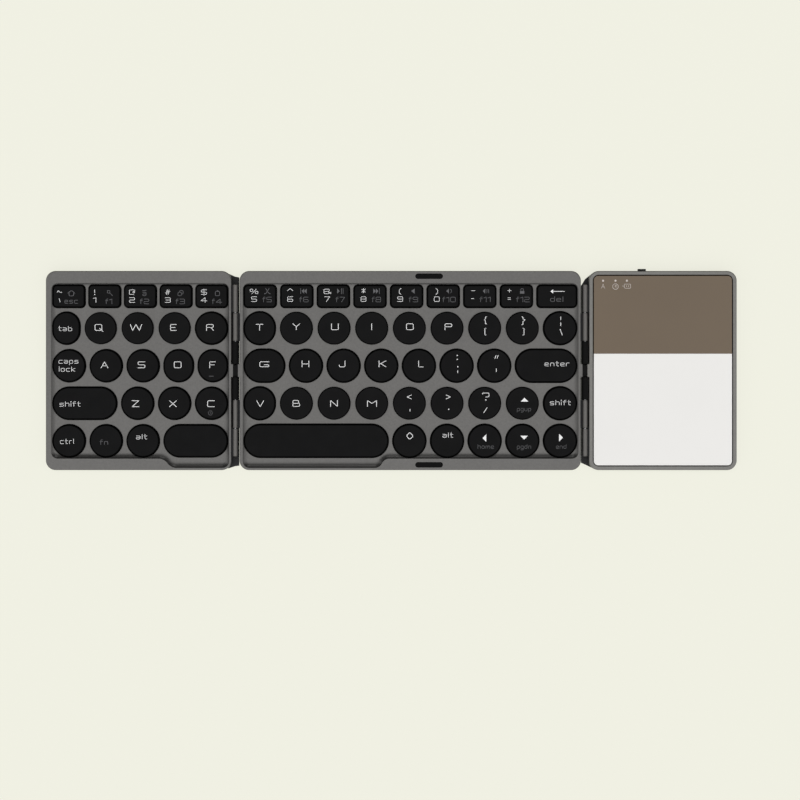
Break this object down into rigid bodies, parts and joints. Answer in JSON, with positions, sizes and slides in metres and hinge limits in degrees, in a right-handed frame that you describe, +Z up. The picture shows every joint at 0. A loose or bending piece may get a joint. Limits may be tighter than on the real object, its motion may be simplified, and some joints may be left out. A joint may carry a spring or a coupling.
{
  "type": "folding keyboard",
  "caption": "Slim three-panel keyboard whose side panels fold onto the middle one, with round keys, a two-tone touch surface, hinge barrels and a rear power slide.",
  "frame": {"origin": "on the resting surface under the middle of the opened case, feet bottoms at Z = 0", "axes": "+X from the left panel to the touch panel, +Y to the rear edge, +Z up out of the keys"},
  "size_m": [0.34, 0.0992, 0.0076],
  "materials": {
    "cover": "grey, fine sprayed grain",
    "frame": "grey anodised, fine blasted grain",
    "steel_plate": "bare stamped sheet",
    "membrane": "printed film",
    "dome_rubber": "soft silicone",
    "scissor_plastic": "moulded",
    "bumper_rubber": "smooth black",
    "foot_rubber": "matt black",
    "screw_steel": "blackened",
    "magnet": "nickel plated",
    "hinge_metal": "grey anodised",
    "pin_steel": "ground",
    "hinge_sleeve": "black, slightly glossy",
    "flex_cable": "black film",
    "touch_surface": "smooth, white with a grey-brown rear part",
    "circuit_board": "green solder mask",
    "battery": "foil pouch",
    "port_metal": "tinned shell",
    "switch_body": "moulded",
    "switch_knob": "black, satin",
    "keycap": "black, satin"
  },
  "bodies": {
    "centre_panel": {"centre_bottom_cover": "cover", "centre_top_frame": "frame", "centre_key_plate": "steel_plate", "centre_membrane": "membrane", "centre_domes": "dome_rubber", "centre_scissors": "scissor_plastic", "bumpers": "bumper_rubber", "centre_feet": "foot_rubber", "centre_screws": "screw_steel", "centre_magnets": "magnet", "centre_hinge_leaves": "hinge_metal", "hinge_pins": "pin_steel"},
    "left_panel": {"left_bottom_cover": "cover", "left_top_frame": "frame", "left_key_plate": "steel_plate", "left_membrane": "membrane", "left_domes": "dome_rubber", "left_scissors": "scissor_plastic", "left_feet": "foot_rubber", "left_screws": "screw_steel", "left_magnets": "magnet", "left_hinge_leaf": "hinge_metal", "left_hinge_sleeves": "hinge_sleeve", "left_flex_cable": "flex_cable"},
    "right_panel": {"right_bottom_cover": "cover", "right_top_frame": "frame", "touch_surface": "touch_surface", "touchpad_board": "circuit_board", "main_board": "circuit_board", "battery": "battery", "usb_port": "port_metal", "switch_body": "switch_body", "right_feet": "foot_rubber", "right_screws": "screw_steel", "right_magnets": "magnet", "right_hinge_leaf": "hinge_metal", "right_hinge_sleeves": "hinge_sleeve", "right_flex_cable": "flex_cable"},
    "power_switch": {"power_switch": "switch_knob"},
    "left_number_keys": {"left_number_keys": "keycap"},
    "tab_key": {"tab_key": "keycap"},
    "left_letter_keys": {"left_letter_keys": "keycap"},
    "caps_lock_key": {"caps_lock_key": "keycap"},
    "left_shift_key": {"left_shift_key": "keycap"},
    "ctrl_key": {"ctrl_key": "keycap"},
    "fn_key": {"fn_key": "keycap"},
    "left_alt_key": {"left_alt_key": "keycap"},
    "left_space_key": {"left_space_key": "keycap"},
    "centre_number_keys": {"centre_number_keys": "keycap"},
    "delete_key": {"delete_key": "keycap"},
    "centre_letter_keys": {"centre_letter_keys": "keycap"},
    "enter_key": {"enter_key": "keycap"},
    "up_key": {"up_key": "keycap"},
    "right_shift_key": {"right_shift_key": "keycap"},
    "space_key": {"space_key": "keycap"},
    "meta_key": {"meta_key": "keycap"},
    "right_alt_key": {"right_alt_key": "keycap"},
    "left_key": {"left_key": "keycap"},
    "down_key": {"down_key": "keycap"},
    "right_key": {"right_key": "keycap"}
  },
  "joints": [
    {"name": "left_fold", "type": "hinge", "parent": "centre_panel", "child": "left_panel", "pos_m": [-0.0767, 0, 0.00615], "axis": [0, 1, 0], "range_deg": [0, 180], "deforming": ["left_flex_cable"]},
    {"name": "right_fold", "type": "hinge", "parent": "centre_panel", "child": "right_panel", "pos_m": [0.0953, 0, 0.00615], "axis": [0, -1, 0], "range_deg": [0, 180], "deforming": ["right_flex_cable"]},
    {"name": "power_slide", "type": "slide", "parent": "right_panel", "child": "power_switch", "axis": [1, 0, 0], "range_m": [0, 0.002]},
    {"name": "left_number_keys_press", "type": "slide", "parent": "left_panel", "child": "left_number_keys", "axis": [0, 0, -1], "range_m": [0, 0.0012], "stiffness_N_per_m": 1750, "springref_m": -0.0004, "deforming": ["left_domes", "left_scissors"]},
    {"name": "tab_key_press", "type": "slide", "parent": "left_panel", "child": "tab_key", "axis": [0, 0, -1], "range_m": [0, 0.0012], "stiffness_N_per_m": 350, "springref_m": -0.0004},
    {"name": "left_letter_keys_press", "type": "slide", "parent": "left_panel", "child": "left_letter_keys", "axis": [0, 0, -1], "range_m": [0, 0.0012], "stiffness_N_per_m": 3850, "springref_m": -0.0004},
    {"name": "caps_lock_key_press", "type": "slide", "parent": "left_panel", "child": "caps_lock_key", "axis": [0, 0, -1], "range_m": [0, 0.0012], "stiffness_N_per_m": 350, "springref_m": -0.0004},
    {"name": "left_shift_key_press", "type": "slide", "parent": "left_panel", "child": "left_shift_key", "axis": [0, 0, -1], "range_m": [0, 0.0012], "stiffness_N_per_m": 350, "springref_m": -0.0004},
    {"name": "ctrl_key_press", "type": "slide", "parent": "left_panel", "child": "ctrl_key", "axis": [0, 0, -1], "range_m": [0, 0.0012], "stiffness_N_per_m": 350, "springref_m": -0.0004},
    {"name": "fn_key_press", "type": "slide", "parent": "left_panel", "child": "fn_key", "axis": [0, 0, -1], "range_m": [0, 0.0012], "stiffness_N_per_m": 350, "springref_m": -0.0004},
    {"name": "left_alt_key_press", "type": "slide", "parent": "left_panel", "child": "left_alt_key", "axis": [0, 0, -1], "range_m": [0, 0.0012], "stiffness_N_per_m": 350, "springref_m": -0.0004},
    {"name": "left_space_key_press", "type": "slide", "parent": "left_panel", "child": "left_space_key", "axis": [0, 0, -1], "range_m": [0, 0.0012], "stiffness_N_per_m": 350, "springref_m": -0.0004},
    {"name": "centre_number_keys_press", "type": "slide", "parent": "centre_panel", "child": "centre_number_keys", "axis": [0, 0, -1], "range_m": [0, 0.0012], "stiffness_N_per_m": 2800, "springref_m": -0.0004, "deforming": ["centre_domes", "centre_scissors"]},
    {"name": "delete_key_press", "type": "slide", "parent": "centre_panel", "child": "delete_key", "axis": [0, 0, -1], "range_m": [0, 0.0012], "stiffness_N_per_m": 350, "springref_m": -0.0004},
    {"name": "centre_letter_keys_press", "type": "slide", "parent": "centre_panel", "child": "centre_letter_keys", "axis": [0, 0, -1], "range_m": [0, 0.0012], "stiffness_N_per_m": 8050, "springref_m": -0.0004},
    {"name": "enter_key_press", "type": "slide", "parent": "centre_panel", "child": "enter_key", "axis": [0, 0, -1], "range_m": [0, 0.0012], "stiffness_N_per_m": 350, "springref_m": -0.0004},
    {"name": "up_key_press", "type": "slide", "parent": "centre_panel", "child": "up_key", "axis": [0, 0, -1], "range_m": [0, 0.0012], "stiffness_N_per_m": 350, "springref_m": -0.0004},
    {"name": "right_shift_key_press", "type": "slide", "parent": "centre_panel", "child": "right_shift_key", "axis": [0, 0, -1], "range_m": [0, 0.0012], "stiffness_N_per_m": 350, "springref_m": -0.0004},
    {"name": "space_key_press", "type": "slide", "parent": "centre_panel", "child": "space_key", "axis": [0, 0, -1], "range_m": [0, 0.0012], "stiffness_N_per_m": 350, "springref_m": -0.0004},
    {"name": "meta_key_press", "type": "slide", "parent": "centre_panel", "child": "meta_key", "axis": [0, 0, -1], "range_m": [0, 0.0012], "stiffness_N_per_m": 350, "springref_m": -0.0004},
    {"name": "right_alt_key_press", "type": "slide", "parent": "centre_panel", "child": "right_alt_key", "axis": [0, 0, -1], "range_m": [0, 0.0012], "stiffness_N_per_m": 350, "springref_m": -0.0004},
    {"name": "left_key_press", "type": "slide", "parent": "centre_panel", "child": "left_key", "axis": [0, 0, -1], "range_m": [0, 0.0012], "stiffness_N_per_m": 350, "springref_m": -0.0004},
    {"name": "down_key_press", "type": "slide", "parent": "centre_panel", "child": "down_key", "axis": [0, 0, -1], "range_m": [0, 0.0012], "stiffness_N_per_m": 350, "springref_m": -0.0004},
    {"name": "right_key_press", "type": "slide", "parent": "centre_panel", "child": "right_key", "axis": [0, 0, -1], "range_m": [0, 0.0012], "stiffness_N_per_m": 350, "springref_m": -0.0004}
  ]
}
